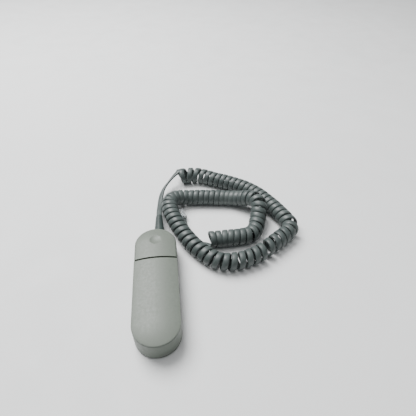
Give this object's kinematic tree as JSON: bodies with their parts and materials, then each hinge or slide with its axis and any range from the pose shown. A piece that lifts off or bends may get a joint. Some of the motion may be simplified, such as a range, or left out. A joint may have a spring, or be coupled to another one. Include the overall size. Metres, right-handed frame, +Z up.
{
  "type": "telescope hand controller",
  "caption": "Slim round-ended handset lying back up, with sliding rear cover, recessed keys beneath, strain relief and a coiled flat cord ending in a small modular plug",
  "frame": {"origin": "middle of the casing's footprint, on the surface it lies on", "axes": "+Z up out of the handset's back; +Y along the casing towards the cord end; +X to the right seen from above with the cord end away"},
  "size_m": [0.1701, 0.2309, 0.0274],
  "materials": {
    "shell_plastic": "fine moulded satin, pale grey-green",
    "key_rubber": "soft matt dark grey",
    "dome_rubber": "translucent silicone",
    "board": "solder mask",
    "chip": "moulded epoxy",
    "connector_plastic": "natural nylon",
    "led": "red lens",
    "light_guide": "clear moulded",
    "screw_steel": "zinc plated",
    "clamp_plastic": "moulded nylon",
    "lead_insulation": "soft insulation",
    "cord_vinyl": "satin grey-green vinyl",
    "plug_clear": "clear polycarbonate",
    "contact_gold": "gold flashed"
  },
  "bodies": {
    "handset": {"front_shell": "shell_plastic", "rear_shell": "shell_plastic", "dome_up": "dome_rubber", "dome_down": "dome_rubber", "dome_left": "dome_rubber", "dome_right": "dome_rubber", "dome_rate": "dome_rubber", "dome_mode": "dome_rubber", "circuit_board": "board", "controller_chip": "chip", "board_parts": "chip", "board_connector": "connector_plastic", "rate_leds": "led", "light_guides": "light_guide", "board_screws": "screw_steel", "case_screws": "screw_steel", "cord_clamp": "clamp_plastic", "clamp_screws": "screw_steel", "inner_leads": "lead_insulation", "inner_cord": "cord_vinyl", "strain_relief": "cord_vinyl", "cord_lead": "cord_vinyl", "coil_1": "cord_vinyl", "coil_2": "cord_vinyl", "coil_3": "cord_vinyl", "coil_4": "cord_vinyl", "coil_5": "cord_vinyl", "coil_6": "cord_vinyl", "coil_7": "cord_vinyl", "coil_8": "cord_vinyl", "coil_9": "cord_vinyl", "cord_tail": "cord_vinyl", "plug_body": "plug_clear", "plug_contacts": "contact_gold"},
    "cover": {"rear_cover": "shell_plastic"},
    "body_key_up": {"key_up": "key_rubber"},
    "body_key_down": {"key_down": "key_rubber"},
    "body_key_left": {"key_left": "key_rubber"},
    "body_key_right": {"key_right": "key_rubber"},
    "body_key_rate": {"key_rate": "key_rubber"},
    "body_key_mode": {"key_mode": "key_rubber"}
  },
  "joints": [
    {"name": "cover_slide", "type": "slide", "parent": "handset", "child": "cover", "axis": [0, -1, 0], "range_m": [0, 0.008]},
    {"name": "press_up", "type": "slide", "parent": "handset", "child": "body_key_up", "axis": [0, 0, 1], "range_m": [0, 0.001], "stiffness_N_per_m": 400, "springref_m": -0.0005, "deforming": ["dome_up"]},
    {"name": "press_down", "type": "slide", "parent": "handset", "child": "body_key_down", "axis": [0, 0, 1], "range_m": [0, 0.001], "stiffness_N_per_m": 400, "springref_m": -0.0005, "deforming": ["dome_down"]},
    {"name": "press_left", "type": "slide", "parent": "handset", "child": "body_key_left", "axis": [0, 0, 1], "range_m": [0, 0.001], "stiffness_N_per_m": 400, "springref_m": -0.0005, "deforming": ["dome_left"]},
    {"name": "press_right", "type": "slide", "parent": "handset", "child": "body_key_right", "axis": [0, 0, 1], "range_m": [0, 0.001], "stiffness_N_per_m": 400, "springref_m": -0.0005, "deforming": ["dome_right"]},
    {"name": "press_rate", "type": "slide", "parent": "handset", "child": "body_key_rate", "axis": [0, 0, 1], "range_m": [0, 0.001], "stiffness_N_per_m": 400, "springref_m": -0.0005, "deforming": ["dome_rate"]},
    {"name": "press_mode", "type": "slide", "parent": "handset", "child": "body_key_mode", "axis": [0, 0, 1], "range_m": [0, 0.001], "stiffness_N_per_m": 400, "springref_m": -0.0005, "deforming": ["dome_mode"]}
  ]
}
